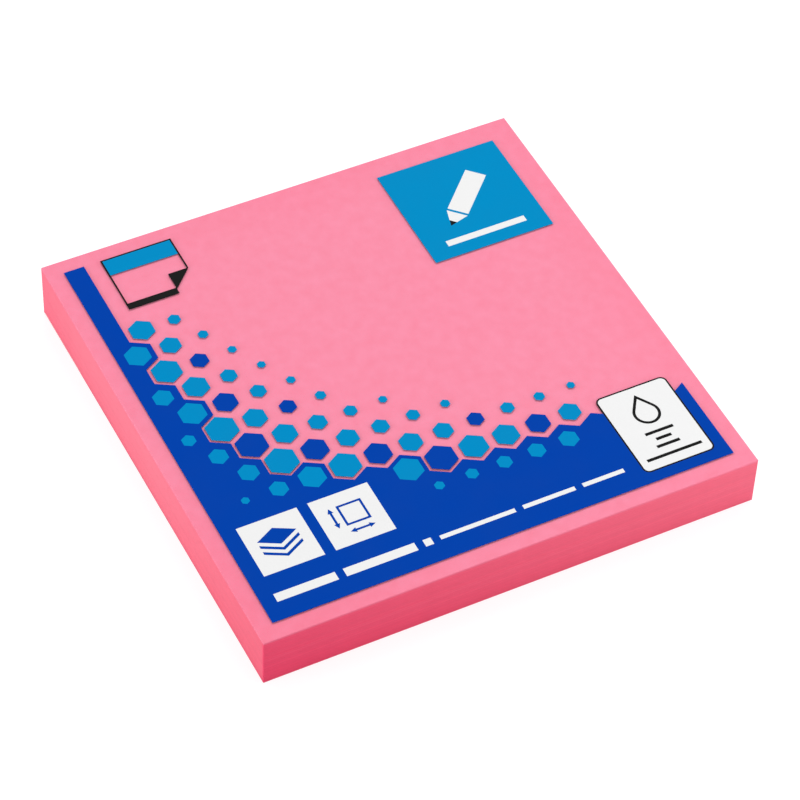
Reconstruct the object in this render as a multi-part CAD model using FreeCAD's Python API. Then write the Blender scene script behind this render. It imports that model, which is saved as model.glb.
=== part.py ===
import FreeCAD, Part
import math
import os

from FreeCAD import Placement, Rotation, Vector

# Sticky note pad, in millimetres. X runs along the free edge, Y from the free edge
# to the glued edge, Z up. The origin is the middle of the pad's underside.

# Paper
PAD_W = 75.0            # width of a note, along X
PAD_D = 75.0            # depth of a note, from the free edge to the glued edge
SHEETS = 80             # notes in the pad
SHEET_T = 0.095         # thickness of one note
SEAM_T = 0.0067         # air between two notes at the free edge
GLUE_LIFT = 0.0091      # what each adhesive strip adds between two notes at the glued edge
SEAM_DEPTH = 0.15       # how far the seams run in from the cut edges
BACKING_T = 0.10        # release-coated sheet under the last note

# Adhesive under the last note
STRIP_T = 0.03          # thickness of the strip
STRIP_W = 13.0          # depth of the strip, along Y
STRIP_SETBACK = 0.5     # bare paper between the strip and the glued edge

# Clear printed film over the top note
FILM_T = 0.05           # thickness of the film
FILM_GAP = 0.15         # the film lies loosely this far above the paper
INK_T = 0.02            # thickness of the print
LINE_W = 0.25           # width of the thin black lines

# Border print: a left arm and a front arm, with an inner edge of honeycomb cells
PRINT_MARGIN = 2.5      # bare edge round the whole print
LEFT_ARM_W = 3.1        # plain part of the left arm
FRONT_ARM_W = 7.5       # plain part of the front arm
CELL = 5.0              # width of one cell of the honeycomb, from side to side
FREE_CELL = 4.4         # width of the largest hexagon that stands free
INLAY_CELL = 4.0        # width of the largest hexagon inlaid in the band
SMALLEST_CELL = 1.0     # width of the smallest hexagon that is printed
CELL_GAP = 0.3          # clear space between a hexagon and any other field
FRINGE_BACK = 61.0      # the honeycomb ends this far from the free edge

# The band thins out along hyperbolas that run towards these two lines
FADE_LEFT = 1.0         # upright line, from the left edge
FADE_FRONT = 11.5       # level line, from the free edge
FADE_AREA = 225.0       # product of the distances from the two lines at the band's edge
INLAY_START = 0.45      # relative distance at which the inlays begin, with the band's edge at 1
FREE_END = 1.95         # relative distance at which the free hexagons have shrunk away
DARK_END = 1.5          # relative distance past which every free hexagon is light
SHADE_CYCLE = 3         # one free hexagon in this many is dark

# White fields on the front arm
TAG_W = 9.0             # side of each of the two square tags
TAG_START = 4.8         # left edge of the first tag
TAG_GAP = 1.6           # band between the tags
CARD_W = 11.2           # upright card at the right end
CARD_D = 14.9
CARD_CORNER = 1.0       # corner radius of the card
CARD_END_GAP = 1.7      # band between the card and its right end
CARD_FRONT = 4.2        # front edge of the card
BAR_START = 4.6         # left end of the row of bars
BAR_GAP = 1.2           # band between two bars
BAR_MIDDLE = 6.1        # middle line of the row
BARS = ((9.0, 1.4), (10.6, 1.4), (1.2, 1.2), (11.4, 0.7), (8.0, 0.7), (6.4, 0.7))

# Square panel with a pencil and a bar
PANEL_W = 19.2          # side of the panel
PANEL_RIGHT_GAP = 4.0   # from the panel to the pad's right edge
PANEL_BACK_GAP = 3.8    # from the panel to the glued edge
PENCIL_W = 3.2          # width of the pencil
PENCIL_L = 8.6          # length of its body
PENCIL_TAPER = 2.8      # length of its sharpened end
PENCIL_LEAD = 1.0       # length of the lead at its point
PENCIL_RING = 0.4       # panel left standing between the body and the taper
PENCIL_LEAN = 45.0      # lean to the right, in degrees
PENCIL_RISE = 5.8       # from the panel's front edge to the point
PANEL_BAR_W = 12.8      # bar along the foot of the panel
PANEL_BAR_H = 1.1
PANEL_BAR_RISE = 2.2    # from the panel's front edge to the bar

# Pictogram of a note with a turned corner
ICON_START = 8.1        # left edge
ICON_W = 11.0
ICON_D = 9.6
ICON_STRIP_D = 3.0      # coloured strip along its back edge
ICON_TURN = 3.2         # side of the turned corner
ICON_SHADE = 0.9        # heavy line under its free edge

BAND_U = PRINT_MARGIN + LEFT_ARM_W
BAND_V = PRINT_MARGIN + FRONT_ARM_W
PRINT_RIGHT = PAD_W - PRINT_MARGIN
PRINT_BACK = PAD_D - PRINT_MARGIN
CARD_START = PRINT_RIGHT - CARD_END_GAP - CARD_W
PANEL_START = PAD_W - PANEL_RIGHT_GAP - PANEL_W
PANEL_FRONT = PAD_D - PANEL_BACK_GAP - PANEL_W
ICON_FRONT = PRINT_BACK - ICON_D


# Paper, adhesive and film

def raised(level, rise):
    """Level a fixed rise above another. A level is its height at the free and glued edges."""
    return level[0] + rise, level[1] + rise


def height_at(level, y):
    """Height of a level at depth y."""
    return level[0] + (level[1] - level[0]) * (y / PAD_D + 0.5)


def layer(lower, upper, inset=0.0):
    """Solid with upright cut edges between two levels, drawn in from the pad's edges."""
    left = -PAD_W / 2 + inset
    front, back = -PAD_D / 2 + inset, PAD_D / 2 - inset
    corners = [(front, lower), (back, lower), (back, upper), (front, upper)]
    profile = [Vector(left, y, height_at(level, y)) for y, level in corners]
    side = Part.Face(Part.makePolygon(profile + profile[:1]))
    return side.extrude(Vector(PAD_W - 2 * inset, 0, 0))


def note_level(index):
    """Level of one note's underside. Each strip of adhesive below lifts its glued edge."""
    front = BACKING_T + STRIP_T + index * (SHEET_T + SEAM_T)
    return front, front + index * GLUE_LIFT


def note_sheets():
    """All notes as one solid, each at its own slope, with seams all round between them."""
    sheets = [layer(note_level(n), raised(note_level(n), SHEET_T)) for n in range(SHEETS)]
    seams = [layer(raised(note_level(n), SHEET_T), note_level(n + 1), SEAM_DEPTH)
             for n in range(SHEETS - 1)]
    return sheets[0].fuse(sheets[1:] + seams)


def backing_sheet():
    """Flat sheet that covers the last note's adhesive."""
    return layer((0.0, 0.0), (BACKING_T, BACKING_T))


def adhesive_strip():
    """Adhesive between the last note and the backing sheet, along the glued edge."""
    corner = Vector(-PAD_W / 2, PAD_D / 2 - STRIP_SETBACK - STRIP_W, BACKING_T)
    return Part.makeBox(PAD_W, STRIP_W, STRIP_T, corner)


PAPER_TOP = raised(note_level(SHEETS - 1), SHEET_T)
FILM_BOTTOM = raised(PAPER_TOP, FILM_GAP)
FILM_TOP = raised(FILM_BOTTOM, FILM_T)


def cover_film():
    """Clear film that carries the print, parallel to the top note."""
    return layer(FILM_BOTTOM, FILM_TOP)


# Flat fields, with u and v measured from the pad's free left corner along X and Y

def field(points):
    """Field inside a closed run of straight edges."""
    corners = [Vector(u, v, 0) for u, v in points]
    return Part.Face(Part.makePolygon(corners + corners[:1]))


def rect(u, v, width, depth):
    """Rectangle from its front left corner."""
    return field([(u, v), (u + width, v), (u + width, v + depth), (u, v + depth)])


def hexagon(u, v, width):
    """Regular hexagon with upright sides, from its middle and its width between them."""
    radius = width / math.sqrt(3)
    turns = [math.radians(30 + 60 * n) for n in range(6)]
    return field([(u + radius * math.cos(turn), v + radius * math.sin(turn)) for turn in turns])


def rounded_rect(u, v, width, depth, radius):
    """Rectangle with round corners, from its front left corner."""
    left, right = u + radius, u + width - radius
    front, back = v + radius, v + depth - radius
    middles = [(left, front, 180), (right, front, 270), (right, back, 0), (left, back, 90)]
    arcs = [Part.makeCircle(radius, Vector(x, y, 0), Vector(0, 0, 1), start, start + 90)
            for x, y, start in middles]
    edges = []
    for arc, following in zip(arcs, arcs[1:] + arcs[:1]):
        edges += [arc, Part.makeLine(arc.Vertexes[-1].Point, following.Vertexes[0].Point)]
    return Part.Face(Part.Wire(edges))


def outline(shape):
    """Thin line along the inside of a field's edge."""
    return shape.cut(shape.makeOffset2D(-LINE_W))


def leaning(shape, u, v, lean):
    """Field drawn upright on 0, 0, leaned to the right and set down at u, v."""
    turned = shape.copy()
    turned.Placement = Placement(Vector(u, v, 0), Rotation(Vector(0, 0, 1), -lean))
    return turned


# Border

def fade(u, v):
    """Relative distance from the pad's free left corner, 1 at the edge of the band."""
    return math.sqrt((u - FADE_LEFT) * max(v - FADE_FRONT, 0) / FADE_AREA)


def honeycomb():
    """Middles of the cells, from the arms' inner corner, and each one's place in the shade cycle."""
    rise = CELL * math.sqrt(3) / 2
    columns = range(math.ceil((PRINT_RIGHT - BAND_U) / CELL) + 1)
    rows = range(int((FRINGE_BACK - BAND_V) / rise) + 1)
    return [(BAND_U + (column + row % 2 / 2) * CELL, BAND_V + row * rise,
             (column - row // 2 - row) % SHADE_CYCLE) for column in columns for row in rows]


def clear_of_fields(u, v, width):
    """Whether a hexagon lies inside the print and clear of the tags, card and icon."""
    reach = width / math.sqrt(3) + CELL_GAP
    around = rect(u - reach, v - reach, 2 * reach, 2 * reach)
    others = tags() + [card(), icon_page()]
    return u + reach < PRINT_RIGHT and all(around.distToShape(o)[0] > 0 for o in others)


def inlays():
    """Hexagons inlaid in the band, growing towards its inner edge."""
    placed = []
    for u, v, _ in honeycomb():
        growth = (fade(u, v) - INLAY_START) / (1 - INLAY_START)
        size = INLAY_CELL * growth
        if growth <= 1 and size > SMALLEST_CELL and clear_of_fields(u, v, size):
            placed.append(hexagon(u, v, size))
    return placed


def free_hexagons(dark):
    """Hexagons past the band's cells, of one colour, shrinking as they leave it."""
    placed = []
    for u, v, turn in honeycomb():
        distance = fade(u, v)
        size = FREE_CELL * (FREE_END - distance) / (FREE_END - 1)
        is_dark = turn == 0 and distance < DARK_END
        fits = distance > 1 and size > SMALLEST_CELL and clear_of_fields(u, v, size)
        if fits and is_dark == dark:
            placed.append(hexagon(u, v, size))
    return placed


def band():
    """Both arms and the cells along them, open at the inlays and the white fields."""
    width, depth = PRINT_RIGHT - PRINT_MARGIN, PRINT_BACK - PRINT_MARGIN
    arms = [rect(PRINT_MARGIN, PRINT_MARGIN, LEFT_ARM_W, depth),
            rect(PRINT_MARGIN, PRINT_MARGIN, width, FRONT_ARM_W)]
    cells = [hexagon(u, v, CELL) for u, v, _ in honeycomb() if fade(u, v) <= 1]
    solid = arms[0].fuse(arms[1:] + cells).removeSplitter()
    inside = solid.common(rect(PRINT_MARGIN, PRINT_MARGIN, width, depth))
    return inside.cut(inlays() + tags() + bars() + [card()])


def tags():
    """Two square tags that stand on the front arm."""
    return [rect(TAG_START + n * (TAG_W + TAG_GAP), BAND_V, TAG_W, TAG_W) for n in range(2)]


def card():
    """Upright card at the right end of the front arm."""
    return rounded_rect(CARD_START, CARD_FRONT, CARD_W, CARD_D, CARD_CORNER)


def bars():
    """Row of thick and thin bars along the front arm."""
    placed = []
    start = BAR_START
    for length, height in BARS:
        placed.append(rect(start, BAR_MIDDLE - height / 2, length, height))
        start += length + BAR_GAP
    return placed


# Panel and pictogram

def pencil_end(tip, base):
    """Part of the pencil's taper between two distances from its point."""
    spread = PENCIL_W / 2 / PENCIL_TAPER
    return field([(-tip * spread, tip), (tip * spread, tip), (base * spread, base),
                  (-base * spread, base)])


def pencil_lead():
    """Pointed lead of the pencil."""
    spread = PENCIL_W / 2 / PENCIL_TAPER
    return field([(0, 0), (PENCIL_LEAD * spread, PENCIL_LEAD), (-PENCIL_LEAD * spread, PENCIL_LEAD)])


def on_panel(shape):
    """Part of the pencil, drawn upright on its point, leaned and centred on the panel."""
    reach = (PENCIL_TAPER + PENCIL_RING + PENCIL_L) * math.sin(math.radians(PENCIL_LEAN))
    return leaning(shape, PANEL_START + (PANEL_W - reach) / 2, PANEL_FRONT + PENCIL_RISE, PENCIL_LEAN)


def panel_figures():
    """White figures on the panel: the pencil without its lead, and the bar."""
    body = rect(-PENCIL_W / 2, PENCIL_TAPER + PENCIL_RING, PENCIL_W, PENCIL_L)
    bar = rect(PANEL_START + (PANEL_W - PANEL_BAR_W) / 2, PANEL_FRONT + PANEL_BAR_RISE,
               PANEL_BAR_W, PANEL_BAR_H)
    return [on_panel(body), on_panel(pencil_end(PENCIL_LEAD, PENCIL_TAPER)), bar]


def panel():
    """Square panel, open at its figures."""
    whole = rect(PANEL_START, PANEL_FRONT, PANEL_W, PANEL_W)
    return whole.cut(panel_figures() + [on_panel(pencil_lead())])


def icon_page():
    """Note of the pictogram, with its free right corner cut off."""
    right, back = ICON_START + ICON_W, ICON_FRONT + ICON_D
    return field([(ICON_START, ICON_FRONT), (right - ICON_TURN, ICON_FRONT),
                  (right, ICON_FRONT + ICON_TURN), (right, back), (ICON_START, back)])


def icon_strip():
    """Coloured strip inside the back edge of the pictogram's note."""
    return rect(ICON_START + LINE_W, ICON_FRONT + ICON_D - LINE_W - ICON_STRIP_D,
                ICON_W - 2 * LINE_W, ICON_STRIP_D)


def icon_lines():
    """Outline, turned corner and heavy free edge of the pictogram."""
    fold = ICON_START + ICON_W - ICON_TURN
    corner = field([(fold, ICON_FRONT), (fold + ICON_TURN, ICON_FRONT + ICON_TURN),
                    (fold, ICON_FRONT + ICON_TURN)])
    shade = rect(ICON_START, ICON_FRONT - ICON_SHADE, ICON_W - ICON_TURN, ICON_SHADE)
    return outline(icon_page()).fuse([corner, shade]).removeSplitter()


# Print

def printed(fields):
    """Print of one colour, laid from its flat fields onto the sloping film."""
    front, back = FILM_TOP
    slope = math.degrees(math.atan2(back - front, PAD_D))
    ink = Part.makeCompound([face.extrude(Vector(0, 0, INK_T))
                             for shape in fields for face in shape.Faces])
    ink.Placement = Placement(Vector(-PAD_W / 2, -PAD_D / 2, front),
                              Rotation(Vector(1, 0, 0), slope))
    return ink


def print_dark_blue():
    """Band and the dark hexagons."""
    return printed([band()] + free_hexagons(dark=True))


def print_light_blue():
    """Inlays, light hexagons, panel and the pictogram's strip."""
    return printed(inlays() + free_hexagons(dark=False) + [panel(), icon_strip()])


def print_white():
    """Tags, card, bars and the panel's figures."""
    page = card().makeOffset2D(-LINE_W)
    return printed(tags() + bars() + panel_figures() + [page])


def print_black():
    """Card's outline, pictogram's lines and the pencil's lead."""
    return printed([outline(card()), icon_lines(), on_panel(pencil_lead())])


def main():
    """Write each piece of the pad to a file of its own."""
    os.makedirs("parts", exist_ok=True)
    pieces = (backing_sheet, adhesive_strip, note_sheets, cover_film,
              print_dark_blue, print_light_blue, print_white, print_black)
    for piece in pieces:
        piece().exportStep(f"parts/{piece.__name__}.step")


main()
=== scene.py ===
import logging
import math
from dataclasses import dataclass
from enum import Enum

import bmesh
import bpy
from mathutils import Matrix, Vector


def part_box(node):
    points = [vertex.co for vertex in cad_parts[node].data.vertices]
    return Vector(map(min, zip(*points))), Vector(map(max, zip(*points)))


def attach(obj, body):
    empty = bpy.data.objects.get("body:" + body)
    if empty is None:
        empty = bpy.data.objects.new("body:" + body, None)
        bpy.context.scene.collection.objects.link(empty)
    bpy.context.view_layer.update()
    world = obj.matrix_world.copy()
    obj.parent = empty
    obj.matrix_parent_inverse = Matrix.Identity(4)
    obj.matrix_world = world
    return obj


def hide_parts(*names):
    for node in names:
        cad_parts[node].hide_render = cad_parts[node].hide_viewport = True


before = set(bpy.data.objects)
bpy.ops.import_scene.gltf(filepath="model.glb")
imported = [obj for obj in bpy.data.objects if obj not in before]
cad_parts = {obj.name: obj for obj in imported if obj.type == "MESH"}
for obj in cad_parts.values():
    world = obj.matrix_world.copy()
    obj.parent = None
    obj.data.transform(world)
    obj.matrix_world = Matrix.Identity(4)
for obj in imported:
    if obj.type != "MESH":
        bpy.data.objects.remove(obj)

LOG = logging.getLogger("note_pad")
MM = 0.001
BODY = "root"
HALF_PAD = 37.5 * MM
SAME_PLACE = 0.001 * MM
NOISE_MIDDLE = 0.5
NOTE_NUMBER, NOTE_TONE = "sheet", "sheet_tone"

Colour = tuple[float, float, float, float]
Point2 = tuple[float, float]
Point3 = tuple[float, float, float]


def srgb(red: int, green: int, blue: int) -> Colour:
    """Linear colour of an eight-bit screen colour.

    Args:
        red: Red level, 0 to 255.
        green: Green level, 0 to 255.
        blue: Blue level, 0 to 255.

    Returns:
        The colour as Blender's shaders read it, with full alpha.
    """
    levels = [level / 255 for level in (red, green, blue)]
    linear = [c / 12.92 if c <= 0.04045 else ((c + 0.055) / 1.055) ** 2.4 for c in levels]
    return linear[0], linear[1], linear[2], 1.0


class Slot(Enum):
    """Names of the record's material slots."""

    NOTE_PAPER = "note_paper"
    DARK_BLUE_INK = "dark_blue_ink"
    BLACK_INK = "black_ink"


class Tone(Enum):
    """Colours of the pad's paper, inks and coatings, and of the shade and highlight painted on its
    paper.
    """

    FACE_PINK = srgb(254, 144, 172)
    # Painted shade on the note's face, towards its rim and free left corner.
    RIM_SHADE_PINK = srgb(254, 128, 156)
    # Painted highlight on the top notes' cut edges.
    TOP_EDGE_HIGHLIGHT_PINK = srgb(254, 146, 174)
    EDGE_PINK = srgb(247, 130, 149)
    # Painted shade on the cut edges: the free edge's face, the glued end and near the floor.
    EDGE_SHADE_PINK = srgb(242, 80, 115)
    # Painted shade on the left side near its front corner.
    SHADE_PINK = srgb(222, 40, 85)
    BACKING_PINK = srgb(250, 122, 150)
    ADHESIVE = srgb(236, 226, 214)
    DARK_BLUE = srgb(0, 66, 172)
    LIGHT_BLUE = srgb(0, 142, 200)
    WHITE = srgb(243, 243, 243)
    BLACK = srgb(31, 31, 31)
    CLEAR = srgb(250, 250, 250)


class Nodes:
    """Short calls that add and link nodes in one node tree."""

    def __init__(self, tree: bpy.types.NodeTree) -> None:
        """Keep the tree that nodes are added to."""
        self.tree = tree

    def add(self, kind: str, inputs: dict | None = None, **settings: object) -> bpy.types.Node:
        """Add a node, and set or link its inputs.

        Args:
            kind: Blender's name for the type of node.
            inputs: Input name or place to a plain value, or to a socket that feeds it.
            settings: Properties of the node itself.

        Returns:
            The new node.
        """
        node = self.tree.nodes.new(kind)
        for name, value in settings.items():
            setattr(node, name, value)
        for key, value in (inputs or {}).items():
            if isinstance(value, bpy.types.NodeSocket):
                self.tree.links.new(value, node.inputs[key])
            else:
                node.inputs[key].default_value = value
        return node

    def math(self, operation: str, *values: object) -> bpy.types.NodeSocket:
        """Output of a Math node on up to three numbers or sockets."""
        inputs = dict(enumerate(values))
        return self.add("ShaderNodeMath", inputs, operation=operation).outputs[0]

    def vector_math(self, operation: str, *values: object) -> bpy.types.NodeSocket:
        """Vector output of a Vector Math node on vectors or sockets."""
        inputs = dict(enumerate(values))
        return self.add("ShaderNodeVectorMath", inputs, operation=operation).outputs[0]

    def scaled(self, vector: bpy.types.NodeSocket, scale: object) -> bpy.types.NodeSocket:
        """Vector times a number or a socket's value."""
        inputs = {0: vector, "Scale": scale}
        return self.add("ShaderNodeVectorMath", inputs, operation="SCALE").outputs[0]

    def upward(self, height: object) -> bpy.types.NodeSocket:
        """Vector straight up, as long as a number or a socket's value."""
        return self.add("ShaderNodeCombineXYZ", {"Z": height}).outputs[0]

    def around_zero(self, value: bpy.types.NodeSocket, share: object) -> bpy.types.NodeSocket:
        """Noise of 0 to 1, moved to lie round 0 and scaled by a share."""
        return self.math("MULTIPLY", self.math("SUBTRACT", value, NOISE_MIDDLE), share)

    def ranged(self, value: bpy.types.NodeSocket, low: float, high: float,
               start: float, end: float) -> bpy.types.NodeSocket:
        """Value mapped from low..high onto start..end, and held there."""
        inputs = {0: value, 1: low, 2: high, 3: start, 4: end}
        return self.add("ShaderNodeMapRange", inputs).outputs[0]

    def mixed(self, factor: object, first: object, second: object) -> bpy.types.NodeSocket:
        """Colour mixed from first to second by a factor."""
        node = self.add("ShaderNodeMix", {0: factor, 6: first, 7: second}, data_type="RGBA")
        return node.outputs[2]


def new_group(name: str, kind: str, inputs: dict[str, tuple], outputs: dict[str, str]) -> Nodes:
    """Start a node group with named sockets.

    Args:
        name: Name of the group.
        kind: Blender's name for the type of tree.
        inputs: Input name to its socket type and default value, which may be None.
        outputs: Output name to its socket type.

    Returns:
        Calls on the new group, whose first two nodes are its input and output.
    """
    tree = bpy.data.node_groups.new(name, kind)
    for socket, (socket_type, default) in inputs.items():
        made = tree.interface.new_socket(socket, in_out="INPUT", socket_type=socket_type)
        if default is not None:
            made.default_value = default
    for socket, socket_type in outputs.items():
        tree.interface.new_socket(socket, in_out="OUTPUT", socket_type=socket_type)
    nodes = Nodes(tree)
    nodes.add("NodeGroupInput")
    nodes.add("NodeGroupOutput")
    return nodes


@dataclass(frozen=True)
class PaperFibre:
    """Paper's fibres and mottling, for faces and cut edges. Scales are per metre."""

    cloud_scale: float = 560.0
    cloud_detail: float = 3.0
    along: Point3 = (900.0, 3600.0, 3600.0)
    across: Point3 = (3600.0, 900.0, 3600.0)
    fibre_detail: float = 2.0
    fibre_bend: float = 0.6
    dye_red_share: float = 0.15
    fibre_range: Point2 = (0.3, 0.7)
    roughness: Point2 = (0.95, 0.8)

    def hairs(self, group: Nodes, place: bpy.types.NodeSocket,
              stretch: Point3) -> bpy.types.NodeSocket:
        """Fibres that lie one way.

        Args:
            group: Calls on the group's tree.
            place: Place in the pad.
            stretch: Their fineness along each axis.

        Returns:
            Their level, 0 to 1.
        """
        stretched = group.vector_math("MULTIPLY", place, stretch)
        return group.add("ShaderNodeTexNoise", {
            "Vector": stretched, "Scale": 1.0, "Detail": self.fibre_detail,
            "Distortion": self.fibre_bend}).outputs[0]

    def build(self) -> bpy.types.NodeTree:
        """Make the group.

        Returns:
            The group's tree.
        """
        group = new_group(
            "paper_fibre", "ShaderNodeTree",
            {"Color": ("NodeSocketColor", (1.0, 1.0, 1.0, 1.0)),
             "Mottle": ("NodeSocketFloat", 0.0), "Fibre": ("NodeSocketFloat", 0.0)},
            {"Color": "NodeSocketColor", "Roughness": "NodeSocketFloat",
             "Height": "NodeSocketFloat"})
        start, end = group.tree.nodes[0].outputs, group.tree.nodes[1].inputs
        place = group.add("ShaderNodeTexCoord").outputs["Object"]
        cloud = group.add("ShaderNodeTexNoise", {"Vector": place, "Scale": self.cloud_scale,
                                                 "Detail": self.cloud_detail}).outputs[0]
        both = group.math("ADD", self.hairs(group, place, self.along),
                          self.hairs(group, place, self.across))
        fibre = group.math("MULTIPLY", both, 0.5)
        change = group.math("ADD", group.around_zero(cloud, start["Mottle"]),
                            group.around_zero(fibre, start["Fibre"]))
        levels = group.add("ShaderNodeCombineXYZ", {
            "X": group.math("MULTIPLY_ADD", change, self.dye_red_share, 1.0),
            "Y": group.math("ADD", change, 1.0), "Z": group.math("ADD", change, 1.0)}).outputs[0]
        tinted = group.vector_math("MULTIPLY", start["Color"], levels)
        group.tree.links.new(tinted, end["Color"])
        group.tree.links.new(group.ranged(fibre, *self.fibre_range, *self.roughness),
                             end["Roughness"])
        group.tree.links.new(fibre, end["Height"])
        return group.tree


@dataclass(frozen=True)
class PrintGrain:
    """Print's grain: pinholes, a soft tint and an uneven sheen. Scales are per metre."""

    fine_scale: float = 5200.0
    fine_detail: float = 2.0
    broad_scale: float = 160.0
    broad_detail: float = 3.0
    broad_range: Point2 = (0.3, 0.7)
    roughness: Point2 = (0.42, 0.58)

    def build(self) -> bpy.types.NodeTree:
        """Make the group.

        Returns:
            The group's tree.
        """
        group = new_group(
            "print_grain", "ShaderNodeTree",
            {"Color": ("NodeSocketColor", (1.0, 1.0, 1.0, 1.0)),
             "Grain": ("NodeSocketFloat", 0.0)},
            {"Color": "NodeSocketColor", "Roughness": "NodeSocketFloat",
             "Height": "NodeSocketFloat"})
        start, end = group.tree.nodes[0].outputs, group.tree.nodes[1].inputs
        place = group.add("ShaderNodeTexCoord").outputs["Object"]
        fine = group.add("ShaderNodeTexNoise", {"Vector": place, "Scale": self.fine_scale,
                                                "Detail": self.fine_detail}).outputs[0]
        broad = group.add("ShaderNodeTexNoise", {"Vector": place, "Scale": self.broad_scale,
                                                 "Detail": self.broad_detail}).outputs[0]
        both = group.math("SUBTRACT", group.math("ADD", fine, broad), 1.0)
        level = group.math("ADD", group.math("MULTIPLY", both, start["Grain"]), 1.0)
        group.tree.links.new(group.scaled(start["Color"], level), end["Color"])
        group.tree.links.new(group.ranged(broad, *self.broad_range, *self.roughness),
                             end["Roughness"])
        group.tree.links.new(fine, end["Height"])
        return group.tree


@dataclass(frozen=True)
class Finish:
    """What every finish shares: a name, a colour, and how it takes the light."""

    name: str
    tone: Tone
    specular: float = 0.06
    bump: float = 0.25
    relief: float = 0.01 * MM

    def start(self) -> tuple[bpy.types.Material, Nodes, bpy.types.Node]:
        """Make the material, with its Principled shader's plain values set.

        Returns:
            The material, calls on its tree, and its Principled shader.
        """
        material = bpy.data.materials.new(self.name)
        material.use_nodes = True
        nodes = Nodes(material.node_tree)
        shader = material.node_tree.nodes["Principled BSDF"]
        shader.inputs["Specular IOR Level"].default_value = self.specular
        return material, nodes, shader

    def relieve(self, nodes: Nodes, shader: bpy.types.Node, height: bpy.types.NodeSocket) -> None:
        """Feed a height to the shader as bump.

        Args:
            nodes: Calls on the material's tree.
            shader: The Principled shader.
            height: The height, 0 to 1.
        """
        inputs = {"Height": height, "Strength": self.bump, "Distance": self.relief}
        bump = nodes.add("ShaderNodeBump", inputs)
        nodes.tree.links.new(bump.outputs["Normal"], shader.inputs["Normal"])

    def texture(self, nodes: Nodes, shader: bpy.types.Node, group: bpy.types.NodeTree,
                inputs: dict) -> None:
        """Feed a texture group's colour, roughness and height to the shader.

        Args:
            nodes: Calls on the material's tree.
            shader: The Principled shader.
            group: The texture group.
            inputs: Input name to a plain value or to a socket.
        """
        made = nodes.add("ShaderNodeGroup", inputs, node_tree=group).outputs
        nodes.tree.links.new(made["Color"], shader.inputs["Base Color"])
        nodes.tree.links.new(made["Roughness"], shader.inputs["Roughness"])
        self.relieve(nodes, shader, made["Height"])


@dataclass(frozen=True)
class PaperFinish(Finish):
    """Matt dyed paper, seen on its face."""

    mottle: float = 0.15
    fibre: float = 0.10

    def build(self, group: bpy.types.NodeTree) -> bpy.types.Material:
        """Make the material.

        Args:
            group: The paper group.

        Returns:
            The finished material.
        """
        material, nodes, shader = self.start()
        self.texture(nodes, shader, group, {"Color": self.tone.value, "Mottle": self.mottle,
                                            "Fibre": self.fibre})
        return material


@dataclass(frozen=True)
class NoteFaceFinish(PaperFinish):
    """Dyed note paper, seen on its face, with painted shade that darkens it towards its rim and
    free left corner.
    """

    mottle: float = 0.26
    # Painted shade towards the rim and the free left corner.
    rim_shade_tone: Tone = Tone.RIM_SHADE_PINK
    rim: float = 9 * MM
    rim_shade_share: float = 0.35
    corner_reach: float = 32 * MM
    corner_shade_share: float = 0.65

    def build(self, group: bpy.types.NodeTree) -> bpy.types.Material:
        """Make the material.

        Args:
            group: The paper group.

        Returns:
            The finished material.
        """
        material, nodes, shader = self.start()
        place = nodes.add("ShaderNodeTexCoord").outputs["Object"]
        axes = nodes.add("ShaderNodeSeparateXYZ", {"Vector": place}).outputs
        out_x = nodes.math("ABSOLUTE", axes["X"])
        out_y = nodes.math("ABSOLUTE", axes["Y"])
        outward = nodes.math("MAXIMUM", out_x, out_y)
        # Painted shade: the face darker towards its rim and towards its free left corner.
        rim_shade = nodes.ranged(outward, HALF_PAD - self.rim, HALF_PAD, 0.0, self.rim_shade_share)
        corner = (-HALF_PAD, -HALF_PAD, 0.0)
        away = nodes.add("ShaderNodeVectorMath", {0: place, 1: corner}, operation="DISTANCE")
        corner_shade = nodes.ranged(away.outputs["Value"], 0.0, self.corner_reach,
                                 self.corner_shade_share, 0.0)
        colour = nodes.mixed(nodes.math("ADD", rim_shade, corner_shade), self.tone.value,
                             self.rim_shade_tone.value)
        self.texture(nodes, shader, group, {"Color": colour, "Mottle": self.mottle,
                                            "Fibre": self.fibre})
        return material


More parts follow.
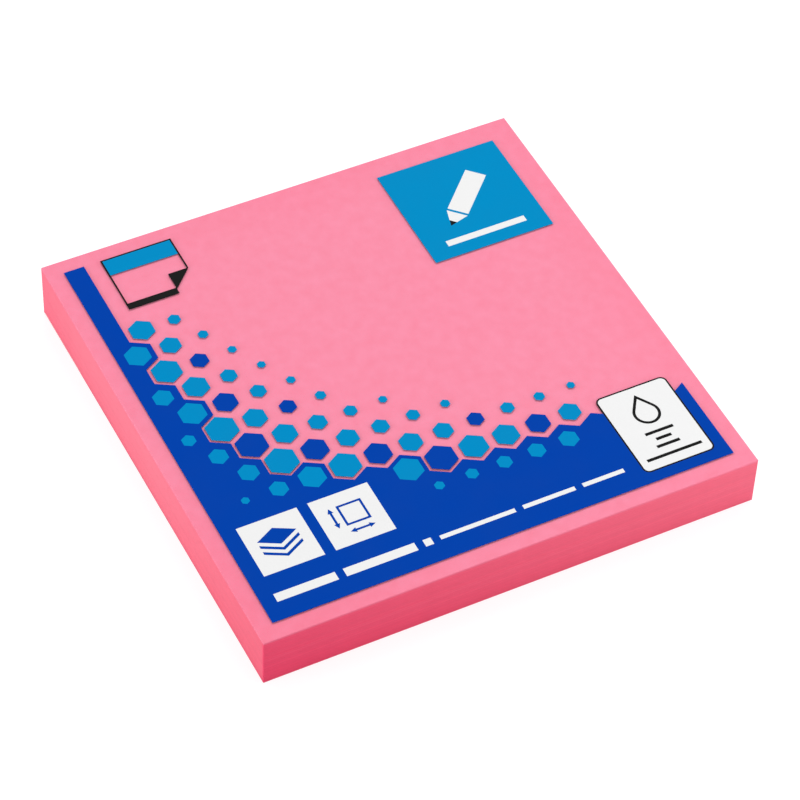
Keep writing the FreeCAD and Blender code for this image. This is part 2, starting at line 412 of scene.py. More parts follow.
@dataclass(frozen=True)
class CutEdgeFinish(PaperFinish):
    """Edges of a stack of notes: each one a tone of its own, with the cutter's faint marks,
    painted shade in places and a painted highlight along the top notes.
    """

    mottle: float = 0.04
    fibre: float = 0.03
    # Tones of the painted shade and the painted highlight.
    edge_shade_tone: Tone = Tone.EDGE_SHADE_PINK
    shade_tone: Tone = Tone.SHADE_PINK
    top_highlight_tone: Tone = Tone.TOP_EDGE_HIGHLIGHT_PINK
    # Where the painted shade falls and how strong it is.
    shade_at_right: float = 0.43
    corner_fade: float = 0.6 * MM
    base_reach: float = 5.4 * MM
    base_share: float = 0.12
    free_reach: float = 34 * MM
    free_share: float = 0.34
    glued_reach: float = 15 * MM
    glued_share: float = 0.18
    last_sheet: float = 79.0
    # Painted highlight on the top few notes' edges.
    top_sheets: float = 4.0
    top_highlight_share: float = 0.7
    sheet_change: float = 0.09
    cut_change: float = 0.05
    mark_scale: Point3 = (520.0, 520.0, 18.0)
    mark_detail: float = 3.0

    def build(self, group: bpy.types.NodeTree) -> bpy.types.Material:
        """Make the material.

        Args:
            group: The paper group.

        Returns:
            The finished material.
        """
        material, nodes, shader = self.start()
        place = nodes.add("ShaderNodeTexCoord").outputs["Object"]
        axes = nodes.add("ShaderNodeSeparateXYZ", {"Vector": place}).outputs
        # Painted shade: the free edge's face darker towards its left end, the left side darker
        # near its front corner, and both darker towards the glued end and the floor.
        at_free_edge = nodes.ranged(axes["Y"], -HALF_PAD, self.corner_fade - HALF_PAD, 1.0, 0.0)
        at_left = nodes.ranged(axes["X"], -HALF_PAD, self.corner_fade - HALF_PAD, 1.0, 0.0)
        towards_right = nodes.ranged(axes["X"], -HALF_PAD, HALF_PAD, 1.0, self.shade_at_right)
        near_free = nodes.ranged(axes["Y"], -HALF_PAD, self.free_reach - HALF_PAD,
                                 self.free_share, 0.0)
        near_glued = nodes.ranged(axes["Y"], HALF_PAD - self.glued_reach, HALF_PAD,
                                  0.0, self.glued_share)
        low_down = nodes.ranged(axes["Z"], 0.0, self.base_reach, self.base_share, 0.0)
        shaded = nodes.mixed(nodes.math("MULTIPLY", near_free, at_left), self.tone.value,
                             self.shade_tone.value)
        # Painted shade along the free edge, towards the glued end and near the floor.
        depth = nodes.math("MULTIPLY", at_free_edge, towards_right)
        depth = nodes.math("ADD", nodes.math("ADD", depth, near_glued), low_down)
        shade_painted = nodes.mixed(depth, shaded, self.edge_shade_tone.value)
        # Painted highlight: the top few notes' edges lighter, as where they catch the light.
        number = nodes.add("ShaderNodeAttribute", attribute_name=NOTE_NUMBER).outputs["Fac"]
        top_highlight = nodes.ranged(number, self.last_sheet - self.top_sheets, self.last_sheet,
                              0.0, self.top_highlight_share)
        colour = nodes.mixed(top_highlight, shade_painted, self.top_highlight_tone.value)
        upright = nodes.vector_math("MULTIPLY", place, self.mark_scale)
        marks = nodes.add("ShaderNodeTexNoise", {"Vector": upright, "Scale": 1.0,
                                                 "Detail": self.mark_detail}).outputs[0]
        tone = nodes.add("ShaderNodeAttribute", attribute_name=NOTE_TONE).outputs["Fac"]
        change = nodes.math("ADD", nodes.around_zero(tone, self.sheet_change),
                            nodes.around_zero(marks, self.cut_change))
        toned = nodes.scaled(colour, nodes.math("ADD", change, 1.0))
        self.texture(nodes, shader, group, {"Color": toned, "Mottle": self.mottle,
                                            "Fibre": self.fibre})
        return material


@dataclass(frozen=True)
class InkFinish(Finish):
    """Flat print with a fine grain and a soft sheen."""

    specular: float = 0.012
    grain: float = 0.06

    def build(self, group: bpy.types.NodeTree) -> bpy.types.Material:
        """Make the material.

        Args:
            group: The print group.

        Returns:
            The finished material.
        """
        material, nodes, shader = self.start()
        self.texture(nodes, shader, group, {"Color": self.tone.value, "Grain": self.grain})
        return material


@dataclass(frozen=True)
class FilmFinish(Finish):
    """Clear film that barely veils the paper, with slight waves, and a painted whitish sheen at a
    low angle.
    """

    specular: float = 0.5
    # Alpha of the film: a faint haze facing the camera, and a painted sheen at low angles.
    haze_and_sheen: Point2 = (0.012, 0.22)
    view_blend: float = 0.5
    low_views: Point2 = (0.5, 1.0)
    wave_scale: float = 70.0
    wave_range: Point2 = (0.3, 0.7)
    veil_change: Point2 = (0.7, 1.3)
    roughness: Point2 = (0.12, 0.2)

    def build(self) -> bpy.types.Material:
        """Make the material.

        Returns:
            The finished material.
        """
        material, nodes, shader = self.start()
        place = nodes.add("ShaderNodeTexCoord").outputs["Object"]
        waves = nodes.add("ShaderNodeTexNoise", {"Vector": place,
                                                 "Scale": self.wave_scale}).outputs[0]
        shader.inputs["Base Color"].default_value = self.tone.value
        # Painted reflection: at low angles the film turns whiter, standing in for its glare.
        facing = nodes.add("ShaderNodeLayerWeight", {"Blend": self.view_blend}).outputs["Facing"]
        haze_and_sheen = nodes.ranged(facing, *self.low_views, *self.haze_and_sheen)
        waving = nodes.ranged(waves, *self.wave_range, *self.veil_change)
        nodes.tree.links.new(nodes.math("MULTIPLY", haze_and_sheen, waving), shader.inputs["Alpha"])
        nodes.tree.links.new(nodes.ranged(waves, *self.wave_range, *self.roughness),
                             shader.inputs["Roughness"])
        self.relieve(nodes, shader, waves)
        return material


@dataclass
class SlopedTop:
    """Sloping top of a CAD node, with flat coordinates from its free left corner."""

    node: str
    edge: float = 0.05 * MM

    def __post_init__(self) -> None:
        """Read the node's corners from the frame."""
        low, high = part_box(self.node)
        corners = [vertex.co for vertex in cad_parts[self.node].data.vertices]
        self.left, self.right = low[0], high[0]
        self.front, self.back = low[1], high[1]
        self.front_z = max(co.z for co in corners if co.y < self.front + self.edge)
        self.back_z = max(co.z for co in corners if co.y > self.back - self.edge)

    def placed(self, rise: float = 0.0) -> Matrix:
        """Matrix from flat coordinates, with Z off the surface, to the frame.

        Args:
            rise: Height above the surface of flat height 0.

        Returns:
            The matrix.
        """
        slope = math.atan2(self.back_z - self.front_z, self.back - self.front)
        corner = Vector((self.left, self.front, self.front_z + rise))
        return Matrix.Translation(corner) @ Matrix.Rotation(slope, 4, "X")


@dataclass(frozen=True)
class Field:
    """One separate field of a print, as a box in flat coordinates."""

    left: float
    front: float
    right: float
    back: float
    top: float

    @property
    def width(self) -> float:
        """Extent along the free edge."""
        return self.right - self.left

    @property
    def depth(self) -> float:
        """Extent away from the free edge."""
        return self.back - self.front


def fields_of(node: str, surface: SlopedTop) -> list[Field]:
    """Separate fields of a print node, largest first.

    Args:
        node: The print's CAD node.
        surface: The surface that the print lies on.

    Returns:
        The fields' boxes in the surface's flat coordinates.
    """
    mesh = bmesh.new()
    mesh.from_mesh(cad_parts[node].data)
    bmesh.ops.remove_doubles(mesh, verts=mesh.verts, dist=SAME_PLACE)
    flat = surface.placed().inverted()
    left_over = set(mesh.verts)
    fields = []
    while left_over:
        reached = [left_over.pop()]
        for vertex in reached:
            linked = {edge.other_vert(vertex) for edge in vertex.link_edges} & left_over
            left_over -= linked
            reached += linked
        places = [flat @ vertex.co for vertex in reached]
        us, vs, ws = ([place[axis] for place in places] for axis in range(3))
        fields.append(Field(min(us), min(vs), max(us), max(vs), max(ws)))
    mesh.free()
    return sorted(fields, key=lambda field: -field.width * field.depth)


def new_piece(name: str, mesh: bpy.types.Mesh) -> bpy.types.Object:
    """Put a finished mesh in the scene as a piece of the pad.

    Args:
        name: Name of the piece.
        mesh: Its mesh, in the frame.

    Returns:
        The new object.
    """
    piece = bpy.data.objects.new(name, mesh)
    bpy.context.scene.collection.objects.link(piece)
    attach(piece, BODY)
    return piece


@dataclass
class NoteBlock:
    """The stack of notes: each one's cut edge has a shift and a waver of its own.

    It is one closed skin. A groove parts each note from the next, and every note has its slope.
    A corner whose level is further than groove_from from its note's middle lies in a groove, and
    a face whose normal points up or down by less than cut_below is a cut edge.
    """

    sheets: int = 80
    steps_per_side: int = 48
    rounding: float = 0.35
    groove: float = 0.008 * MM
    shift: float = 0.015 * MM
    wave: float = 0.012 * MM
    wave_scale: float = 120.0
    wave_detail: float = 2.0
    groove_from: float = 0.45
    cut_below: float = 0.9
    seed: int = 7

    def tree(self, face: bpy.types.Material, edge: bpy.types.Material) -> bpy.types.NodeTree:
        """Geometry Nodes that stack the notes.

        Args:
            face: Material of the first and the last note's face.
            edge: Material of all cut edges.

        Returns:
            The tree, which takes all sizes as inputs.
        """
        group = new_group(
            "note_stack", "GeometryNodeTree",
            {"Geometry": ("NodeSocketGeometry", None),
             "Width": ("NodeSocketFloat", 0.0), "Depth": ("NodeSocketFloat", 0.0),
             "Sheets": ("NodeSocketInt", 1), "Steps": ("NodeSocketInt", 1),
             "Base": ("NodeSocketFloat", 0.0), "Pitch": ("NodeSocketFloat", 0.0),
             "Lift": ("NodeSocketFloat", 0.0), "Rounding": ("NodeSocketFloat", 0.0),
             "Groove": ("NodeSocketFloat", 0.0), "Shift": ("NodeSocketFloat", 0.0),
             "Wave": ("NodeSocketFloat", 0.0), "Wave Scale": ("NodeSocketFloat", 0.0),
             "Seed": ("NodeSocketInt", 0)},
            {"Geometry": "NodeSocketGeometry"})
        given, result = group.tree.nodes[0].outputs, group.tree.nodes[1].inputs
        numbered = self.numbered(group, given, self.skin(group, given))
        moved = group.add("GeometryNodeSetPosition",
                          {"Geometry": numbered, "Offset": self.offsets(group, given)})
        normal = group.add("GeometryNodeInputNormal").outputs[0]
        facing = group.add("ShaderNodeSeparateXYZ", {"Vector": normal}).outputs["Z"]
        is_cut = group.add("FunctionNodeCompare",
                           {0: group.math("ABSOLUTE", facing), 1: self.cut_below},
                           data_type="FLOAT", operation="LESS_THAN").outputs[0]
        faced = group.add("GeometryNodeSetMaterial", {"Geometry": moved.outputs[0],
                                                      "Material": face})
        cut = group.add("GeometryNodeSetMaterial", {"Geometry": faced.outputs[0],
                                                    "Selection": is_cut, "Material": edge})
        group.tree.links.new(cut.outputs[0], result["Geometry"])
        return group.tree

    def skin(self, group: Nodes, given: bpy.types.NodeInputs) -> bpy.types.NodeSocket:
        """Stack of cut edges, closed by the first note's underside and the last one's face.

        Args:
            group: Calls on the tree.
            given: The tree's inputs.

        Returns:
            The closed stack, all level and upright.
        """
        corners = group.math("ADD", given["Steps"], 1.0)
        flat = group.add("GeometryNodeMeshGrid",
                         {"Size X": given["Width"], "Size Y": given["Depth"],
                          "Vertices X": corners, "Vertices Y": corners}).outputs[0]
        height = group.math("MULTIPLY", given["Sheets"], given["Pitch"])
        base = group.upward(given["Base"])
        top = group.upward(group.math("ADD", given["Base"], height))
        line = group.add("GeometryNodeMeshLine",
                         {"Count": given["Sheets"], "Start Location": base,
                          "Offset": group.upward(given["Pitch"])}).outputs[0]
        stack = group.add("GeometryNodeInstanceOnPoints",
                          {"Points": line, "Instance": self.cut_edge(group, given, flat)})
        turned = group.add("GeometryNodeFlipFaces", {"Mesh": flat}).outputs[0]
        under = group.add("GeometryNodeTransform", {"Geometry": turned, "Translation": base})
        over = group.add("GeometryNodeTransform", {"Geometry": flat, "Translation": top})
        parts = group.add("GeometryNodeJoinGeometry")
        for part in (stack, under, over):
            group.tree.links.new(part.outputs[0], parts.inputs[0])
        loose = group.add("GeometryNodeRealizeInstances", {"Geometry": parts.outputs[0]})
        return group.add("GeometryNodeMergeByDistance",
                         {"Geometry": loose.outputs[0], "Distance": SAME_PLACE}).outputs[0]

    def cut_edge(self, group: Nodes, given: bpy.types.NodeInputs,
                 flat: bpy.types.NodeSocket) -> bpy.types.NodeSocket:
        """Cut edge of one note, a ring of three rows from groove to groove.

        Args:
            group: Calls on the tree.
            given: The tree's inputs.
            flat: The note's face, at height 0.

        Returns:
            The ring, open at the bottom and the top.
        """
        slant = group.math("MULTIPLY", given["Rounding"], given["Pitch"])
        upright = group.math("SUBTRACT", given["Pitch"], group.math("MULTIPLY", slant, 2.0))
        ring = group.add("GeometryNodeExtrudeMesh",
                         {"Mesh": flat, "Offset": group.upward(slant),
                          "Offset Scale": 1.0, "Individual": False}).outputs
        for rise in (upright, slant):
            ring = group.add("GeometryNodeExtrudeMesh",
                             {"Mesh": ring["Mesh"], "Selection": ring["Top"],
                              "Offset": group.upward(rise),
                              "Offset Scale": 1.0, "Individual": False}).outputs
        return group.add("GeometryNodeDeleteGeometry",
                         {"Geometry": ring["Mesh"], "Selection": ring["Top"]},
                         domain="FACE").outputs[0]

    def level(self, group: Nodes, given: bpy.types.NodeInputs) -> bpy.types.NodeSocket:
        """Height in notes before any is moved: whole in the grooves, 0 at the bottom.

        Args:
            group: Calls on the tree.
            given: The tree's inputs.

        Returns:
            The level.
        """
        place = group.add("GeometryNodeInputPosition").outputs[0]
        z = group.add("ShaderNodeSeparateXYZ", {"Vector": place}).outputs["Z"]
        return group.math("DIVIDE", group.math("SUBTRACT", z, given["Base"]), given["Pitch"])

    def numbered(self, group: Nodes, given: bpy.types.NodeInputs,
                 skin: bpy.types.NodeSocket) -> bpy.types.NodeSocket:
        """Number each note's faces, and give each note a tone of its own.

        Args:
            group: Calls on the tree.
            given: The tree's inputs.
            skin: The closed stack.

        Returns:
            The stack with both attributes.
        """
        number = group.math("FLOOR", self.level(group, given))
        tone = group.add("FunctionNodeRandomValue", {"ID": number, "Seed": given["Seed"]},
                         data_type="FLOAT").outputs[1]
        for name, value, kind in ((NOTE_NUMBER, number, "INT"), (NOTE_TONE, tone, "FLOAT")):
            skin = group.add("GeometryNodeStoreNamedAttribute",
                             {"Geometry": skin, "Name": name, "Value": value},
                             data_type=kind, domain="FACE").outputs[0]
        return skin

    def offsets(self, group: Nodes, given: bpy.types.NodeInputs) -> bpy.types.NodeSocket:
        """How far each corner moves: by its slope, and by the groove or the note's own cut.

        Args:
            group: Calls on the tree.
            given: The tree's inputs.

        Returns:
            The offset.
        """
        place = group.add("GeometryNodeInputPosition").outputs[0]
        y = group.add("ShaderNodeSeparateXYZ", {"Vector": place}).outputs["Y"]
        level = self.level(group, given)
        along = group.math("ADD", group.math("DIVIDE", y, given["Depth"]), 0.5)
        lift = group.math("MULTIPLY", group.math("MULTIPLY", level, given["Lift"]), along)
        within = group.math("SUBTRACT", group.math("FRACT", level), 0.5)
        in_groove = group.math("GREATER_THAN", group.math("ABSOLUTE", within), self.groove_from)
        number = group.math("FLOOR", level)
        shifted = group.add("FunctionNodeRandomValue",
                            {0: (-1.0, -1.0, 0.0), 1: (1.0, 1.0, 0.0), "ID": number,
                             "Seed": given["Seed"]}, data_type="FLOAT_VECTOR").outputs[0]
        noise = group.add("ShaderNodeTexNoise",
                          {"Vector": place, "W": number, "Scale": given["Wave Scale"],
                           "Detail": self.wave_detail}, noise_dimensions="4D").outputs["Color"]
        centred = group.vector_math("SUBTRACT", noise, (NOISE_MIDDLE, NOISE_MIDDLE, NOISE_MIDDLE))
        wavering = group.vector_math("MULTIPLY", centred, (2.0, 2.0, 0.0))
        cut = group.vector_math("ADD", group.scaled(shifted, given["Shift"]),
                                group.scaled(wavering, given["Wave"]))
        own_cut = group.scaled(cut, group.math("SUBTRACT", 1.0, in_groove))
        share = group.math("DIVIDE", given["Groove"], group.math("MULTIPLY", given["Width"], -0.5))
        sideways = group.vector_math("MULTIPLY", place, (1.0, 1.0, 0.0))
        inward = group.scaled(sideways, group.math("MULTIPLY", share, in_groove))
        level_move = group.vector_math("ADD", own_cut, inward)
        return group.vector_math("ADD", group.upward(lift), level_move)

    def build(self, face: bpy.types.Material, edge: bpy.types.Material) -> bpy.types.Object:
        """Make the block in place of its CAD node.

        Args:
            face: Material of the first and the last note's face.
            edge: Material of all cut edges.

        Returns:
            The finished piece.
        """
        node = "note_sheets"
        low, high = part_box(node)
        top = SlopedTop(node)
        room = 2 * (self.shift + self.wave)
        values = {"Width": high[0] - low[0] - room, "Depth": high[1] - low[1] - room,
                  "Sheets": self.sheets, "Steps": self.steps_per_side, "Base": low[2],
                  "Pitch": (top.front_z - low[2]) / self.sheets,
                  "Lift": (top.back_z - top.front_z) / self.sheets,
                  "Rounding": self.rounding, "Groove": self.groove, "Shift": self.shift,
                  "Wave": self.wave, "Wave Scale": self.wave_scale, "Seed": self.seed}
        start = bpy.data.meshes.new("note_stack_maker")
        maker = bpy.data.objects.new("note_stack_maker", start)
        bpy.context.scene.collection.objects.link(maker)
        modifier = maker.modifiers.new("note_stack", "NODES")
        modifier.node_group = self.tree(face, edge)
        for item in modifier.node_group.interface.items_tree:
            if item.name in values and item.in_out == "INPUT":
                modifier[item.identifier] = values[item.name]
        maker.update_tag()
        graph = bpy.context.evaluated_depsgraph_get()
        mesh = bpy.data.meshes.new_from_object(maker.evaluated_get(graph))
        maker.modifiers.clear()
        bpy.data.objects.remove(maker)
        bpy.data.meshes.remove(start)
        mesh.name = "note_block"
        piece = new_piece("note_block", mesh)
        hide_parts(node)
        return piece


@dataclass
class FigureSheet:
    """Flat printed figures in one ink, drawn as closed outlines and given a print's thickness."""

    name: str
    surface: SlopedTop
    rise: float
    thickness: float = 0.01 * MM

    def __post_init__(self) -> None:
        """Start an empty mesh."""
        self.mesh = bmesh.new()

    def patch(self, points: list[Point2]) -> None:
        """Add a filled outline.

        Args:
            points: Its corners in flat coordinates, anticlockwise.
        """
        low = [self.mesh.verts.new((u, v, 0.0)) for u, v in points]
        high = [self.mesh.verts.new((u, v, self.thickness)) for u, v in points]
        self.mesh.faces.new(high)
        self.mesh.faces.new(low[::-1])
        for n, corner in enumerate(low):
            after = (n + 1) % len(low)
            self.mesh.faces.new((corner, low[after], high[after], high[n]))

    def ring(self, outer: list[Point2], inner: list[Point2]) -> None:
        """Add a line between two outlines with as many corners each.

        Args:
            outer: Outer corners in flat coordinates, anticlockwise.
            inner: Inner corners, each facing its outer one.
        """
        loops = [[self.mesh.verts.new((u, v, w)) for u, v in points]
                 for points in (outer, inner) for w in (0.0, self.thickness)]
        low_out, high_out, low_in, high_in = loops
        for n in range(len(outer)):
            m = (n + 1) % len(outer)
            self.mesh.faces.new((high_out[n], high_out[m], high_in[m], high_in[n]))
            self.mesh.faces.new((low_in[n], low_in[m], low_out[m], low_out[n]))
            self.mesh.faces.new((low_out[n], low_out[m], high_out[m], high_out[n]))
            self.mesh.faces.new((low_in[m], low_in[n], high_in[n], high_in[m]))

    def bar(self, u: float, v: float, width: float, height: float) -> None:
        """Add a bar, given by its middle and its size."""
        left, right, front, back = u - width / 2, u + width / 2, v - height / 2, v + height / 2
        self.patch([(left, front), (right, front), (right, back), (left, back)])

    def finish(self, material: bpy.types.Material) -> bpy.types.Object:
        """Lay the figures on their surface as one piece.

        Args:
            material: Their ink.

        Returns:
            The finished piece.
        """
        self.mesh.transform(self.surface.placed(self.rise))
        bmesh.ops.recalc_face_normals(self.mesh, faces=self.mesh.faces)
        mesh = bpy.data.meshes.new(self.name)
        self.mesh.to_mesh(mesh)
        self.mesh.free()
        mesh.materials.append(material)
        return new_piece(self.name, mesh)


@dataclass
class TagFigures:
    """Plain figures on the two white tags: a pile of sheets, and a square with two arrows."""

    surface: SlopedTop
    tags: list[Field]
    line: float = 0.34 * MM
    pile_half: Point2 = (2.9 * MM, 1.5 * MM)
    pile_step: float = 1.15 * MM
    pile_layers: int = 3
    pile_line: float = 0.5 * MM
    square: float = 3.7 * MM
    arrow_gap: float = 1.1 * MM
    arrow_head: float = 0.85 * MM

    def pile(self, sheet: FigureSheet, tag: Field) -> None:
        """Draw a pile of sheets seen from a corner.

        Args:
            sheet: The figures being drawn.
            tag: The tag that it stands on.
        """
        u = (tag.left + tag.right) / 2
        v = (tag.front + tag.back) / 2 + self.pile_step
        across, up = self.pile_half
        sheet.patch([(u - across, v), (u, v - up), (u + across, v), (u, v + up)])
        for layer in range(1, self.pile_layers):
            low = v - layer * self.pile_step
            sheet.patch([(u - across, low), (u, low - up), (u + across, low),
                         (u + across, low + self.pile_line), (u, low - up + self.pile_line),
                         (u - across, low + self.pile_line)])

    def arrow(self, sheet: FigureSheet, middle: Point2, upright: bool) -> None:
        """Draw a double arrow as long as the square.

        Args:
            sheet: The figures being drawn.
            middle: Its middle.
            upright: Whether it runs away from the free edge.
        """
        u, v = middle
        half, head, line = self.square / 2, self.arrow_head, self.line / 2
        points = [(-half, 0.0), (-half + head, -head / 2), (-half + head, -line),
                  (half - head, -line), (half - head, -head / 2), (half, 0.0),
                  (half - head, head / 2), (half - head, line), (-half + head, line),
                  (-half + head, head / 2)]
        if upright:
            points = [(-b, a) for a, b in points]
        sheet.patch([(u + a, v + b) for a, b in points])

    def measured_square(self, sheet: FigureSheet, tag: Field) -> None:
        """Draw a square with an arrow along two of its sides.

        Args:
            sheet: The figures being drawn.
            tag: The tag that it stands on.
        """
        u = (tag.left + tag.right + self.arrow_gap) / 2
        v = (tag.front + tag.back + self.arrow_gap) / 2
        half = self.square / 2
        sides = [(-1, -1), (1, -1), (1, 1), (-1, 1)]
        sheet.ring([(u + a * half, v + b * half) for a, b in sides],
                   [(u + a * (half - self.line), v + b * (half - self.line)) for a, b in sides])
        self.arrow(sheet, (u, v - half - self.arrow_gap), upright=False)
        self.arrow(sheet, (u - half - self.arrow_gap, v), upright=True)

    def build(self, material: bpy.types.Material) -> bpy.types.Object:
        """Make both figures as one piece.

        Args:
            material: Their ink.

        Returns:
            The finished piece.
        """
        first, second = sorted(self.tags, key=lambda tag: tag.left)
        sheet = FigureSheet("tag_figures", self.surface, first.top)
        self.pile(sheet, first)
        self.measured_square(sheet, second)
        return sheet.finish(material)


@dataclass
class CardFigures:
    """Plain figures on the white card: a drop over a few bars."""

    surface: SlopedTop
    card: Field
    line: float = 0.42 * MM
    drop_radius: float = 2.0 * MM
    drop_height: float = 5.6 * MM
    drop_back_gap: float = 1.3 * MM
    arc_steps: int = 32
    bar_height: float = 0.5 * MM
    bars: tuple[Point2, ...] = ((6.0, 4.4), (4.7, 2.4), (3.4, 3.6), (1.7, 8.6))

    def drop(self, radius: float, height: float) -> list[Point2]:
        """Outline of a drop round 0, 0, with its point up.

        Args:
            radius: Radius of its round end.
            height: Distance from the round end's middle to the point.

        Returns:
            Its corners, anticlockwise from the point.
        """
        turn = math.asin(radius / height)
        start, sweep = math.pi - turn, math.pi + 2 * turn
        steps = [start + sweep * n / self.arc_steps for n in range(self.arc_steps + 1)]
        return [(0.0, height)] + [(radius * math.cos(a), radius * math.sin(a)) for a in steps]

    def build(self, material: bpy.types.Material) -> bpy.types.Object:
        """Make the figures as one piece.

        Args:
            material: Their ink.

        Returns:
            The finished piece.
        """
        sheet = FigureSheet("card_figures", self.surface, self.card.top)
        u = (self.card.left + self.card.right) / 2
        reach = self.drop_height - self.drop_radius
        v = self.card.back - self.drop_back_gap - reach
        outer = self.drop(self.drop_radius, reach)
        inner_radius = self.drop_radius - self.line
        inner = self.drop(inner_radius, reach * inner_radius / self.drop_radius)
        sheet.ring([(u + a, v + b) for a, b in outer], [(u + a, v + b) for a, b in inner])
        for rise, width in self.bars:
            sheet.bar(u, self.card.front + rise * MM, width * MM, self.bar_height)
        return sheet.finish(material)


@dataclass(frozen=True)
class Lamp:
    """Soft square lamp that faces the pad, with its place and side in metres.

    Its level is what a white surface that faces it at the pad takes from it, of 1.
    """

    name: str
    place: Point3
    size: float
    level: float

    def build(self) -> None:
        """Hang the lamp."""
        light = bpy.data.lights.new(self.name, "AREA")
        light.size = self.size
        light.energy = self.level * math.pi ** 2 * Vector(self.place).length_squared
        lamp = bpy.data.objects.new(self.name, light)
        lamp.location = self.place
        lamp.rotation_euler = Vector(self.place).to_track_quat("Z", "Y").to_euler()
        bpy.context.scene.collection.objects.link(lamp)


@dataclass
class Studio:
    """White floor, even sky and three soft lamps."""

    sky: float = 0.58
    floor_half: float = 3.0
    floor_tone: float = 0.88
    seen_tone: float = 0.40
    seen_glow: float = 0.76
    lamps: tuple[Lamp, ...] = (Lamp("back_right_lamp", (0.30, 0.42, 0.75), 0.45, 0.36),
                               Lamp("left_lamp", (-0.60, -0.04, 0.15), 0.40, 0.45),
                               Lamp("front_right_lamp", (0.17, -0.15, 0.06), 0.12, 0.25))

    def floor(self) -> None:
        """Lay the floor, which the camera sees as white but for the pad's shadow."""
        half = self.floor_half
        mesh = bpy.data.meshes.new("floor")
        corners = [(-half, -half, 0), (half, -half, 0), (half, half, 0), (-half, half, 0)]
        mesh.from_pydata(corners, [], [(0, 1, 2, 3)])
        floor = bpy.data.objects.new("floor", mesh)
        bpy.context.scene.collection.objects.link(floor)
        material = bpy.data.materials.new("white_floor")
        material.use_nodes = True
        nodes = Nodes(material.node_tree)
        shader = material.node_tree.nodes["Principled BSDF"]
        shader.inputs["Roughness"].default_value = 1.0
        shader.inputs["Specular IOR Level"].default_value = 0.0
        shader.inputs["Emission Color"].default_value = (1.0, 1.0, 1.0, 1.0)
        seen = nodes.add("ShaderNodeLightPath").outputs["Is Camera Ray"]
        tone = nodes.ranged(seen, 0.0, 1.0, self.floor_tone, self.seen_tone)
        grey = nodes.add("ShaderNodeCombineColor", {"Red": tone, "Green": tone, "Blue": tone})
        nodes.tree.links.new(grey.outputs[0], shader.inputs["Base Color"])
        glow = nodes.math("MULTIPLY", seen, self.seen_glow)
        nodes.tree.links.new(glow, shader.inputs["Emission Strength"])
        mesh.materials.append(material)

    def world(self) -> None:
        """Set an even sky, which the camera sees as white, through clear film too."""
        world = bpy.data.worlds.new("studio")
        bpy.context.scene.world = world
        world.use_nodes = True
        nodes = Nodes(world.node_tree)
        path = nodes.add("ShaderNodeLightPath").outputs
        seen = nodes.math("MAXIMUM", path["Is Camera Ray"], path["Is Transmission Ray"])
        strength = nodes.math("MAXIMUM", seen, self.sky)
        background = world.node_tree.nodes["Background"]
        background.inputs["Color"].default_value = (1.0, 1.0, 1.0, 1.0)
        nodes.tree.links.new(strength, background.inputs["Strength"])

    def build(self) -> None:
        """Set up the floor, the sky and the lamps."""
        bpy.context.scene.view_settings.view_transform = "Standard"
        self.floor()
        self.world()
        for lamp in self.lamps:
            lamp.build()


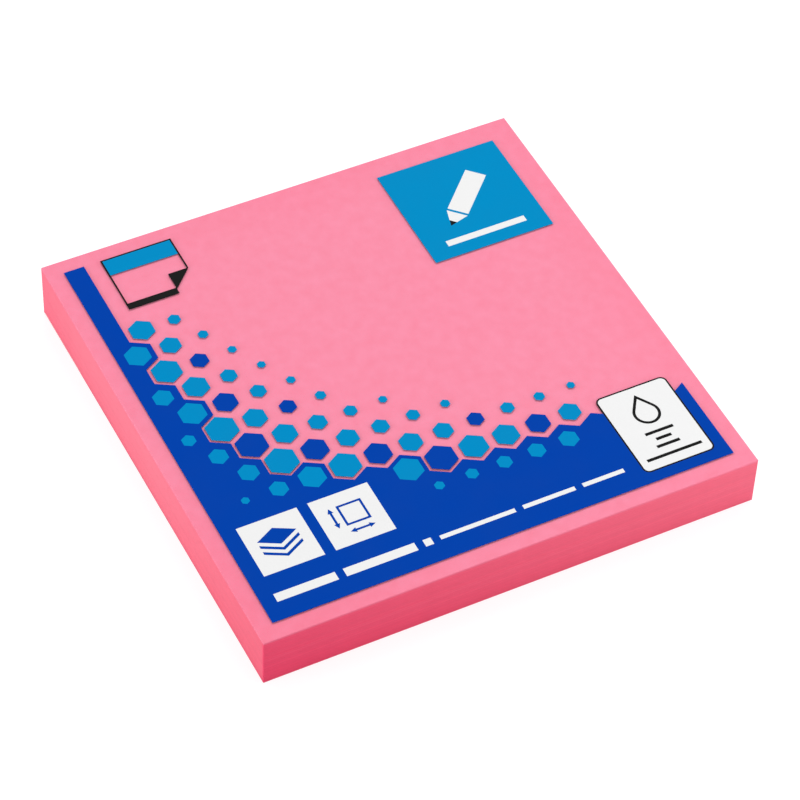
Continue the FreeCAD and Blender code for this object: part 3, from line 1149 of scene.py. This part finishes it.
@dataclass
class PhotoCamera:
    """Camera at the photo's angle, in degrees and metres."""

    azimuth: float = -28.51
    elevation: float = 47.59
    roll: float = 2.53
    distance: float = 483.2 * MM
    aside: float = -1.34 * MM
    above: float = -0.50 * MM
    lens_in_frames: float = 4.2525
    sensor_mm: float = 36.0
    nearest: float = 10 * MM

    def build(self) -> bpy.types.Object:
        """Make the scene's camera.

        Returns:
            The camera.
        """
        turn, rise, tilt = (math.radians(a) for a in (self.azimuth, self.elevation, self.roll))
        back = Vector((math.sin(turn) * math.cos(rise), -math.cos(turn) * math.cos(rise),
                       math.sin(rise)))
        level = Vector((math.cos(turn), math.sin(turn), 0.0))
        upward = back.cross(level)
        right = math.cos(tilt) * level + math.sin(tilt) * upward
        top = -math.sin(tilt) * level + math.cos(tilt) * upward
        lens = bpy.data.cameras.new("photo_camera")
        lens.sensor_width = self.sensor_mm
        lens.lens = self.lens_in_frames * self.sensor_mm
        lens.clip_start = self.nearest
        camera = bpy.data.objects.new("photo_camera", lens)
        place = back * self.distance - right * self.aside - top * self.above
        turned = Matrix((right, top, back)).transposed().to_4x4()
        camera.matrix_world = Matrix.Translation(place) @ turned
        bpy.context.scene.collection.objects.link(camera)
        bpy.context.scene.camera = camera
        return camera


@dataclass
class PadDressing:
    """All finishes of the pad, put on its CAD nodes and on the scene's own pieces."""

    def build(self) -> None:
        """Make the finishes and pieces in order, and report each piece."""
        paper, ink = PaperFibre().build(), PrintGrain().build()
        face = NoteFaceFinish("note_face", Tone.FACE_PINK).build(paper)
        edge = CutEdgeFinish("note_cut_edge", Tone.EDGE_PINK).build(paper)
        backing = PaperFinish("backing_face", Tone.BACKING_PINK).build(paper)
        adhesive = PaperFinish("tacky_adhesive", Tone.ADHESIVE, specular=0.4).build(paper)
        dark = InkFinish("dark_blue_print", Tone.DARK_BLUE).build(ink)
        light = InkFinish("light_blue_print", Tone.LIGHT_BLUE).build(ink)
        white = InkFinish("white_print", Tone.WHITE, grain=0.02).build(ink)
        black = InkFinish("black_print", Tone.BLACK).build(ink)
        film = FilmFinish("clear_cover_film", Tone.CLEAR).build()
        coats = {"backing_sheet": backing, "adhesive_strip": adhesive, "cover_film": film,
                 "print_dark_blue": dark, "print_light_blue": light,
                 "print_white": white, "print_black": black}
        for node, material in coats.items():
            self.dress(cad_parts[node], material)
        report(NoteBlock().build(face, edge))
        surface = SlopedTop("cover_film")
        card, first_tag, second_tag, *_ = fields_of("print_white", surface)
        report(TagFigures(surface, [first_tag, second_tag]).build(dark))
        report(CardFigures(surface, card).build(black))

    def dress(self, node: bpy.types.Object, material: bpy.types.Material) -> None:
        """Give a CAD node its finish, and leave its mesh as it is.

        Args:
            node: The CAD node's object.
            material: Its finish.
        """
        node.data.materials.clear()
        node.data.materials.append(material)
        report(node)


def report(piece: bpy.types.Object) -> None:
    """Log a piece's name and how many faces it has."""
    LOG.info("%s: %d faces", piece.name, len(piece.data.polygons))


def main() -> None:
    """Dress the pad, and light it."""
    logging.basicConfig(level=logging.INFO, format="%(name)s %(message)s")
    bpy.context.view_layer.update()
    PadDressing().build()
    Studio().build()
    PhotoCamera().build()


if __name__ == "__main__":
    main()
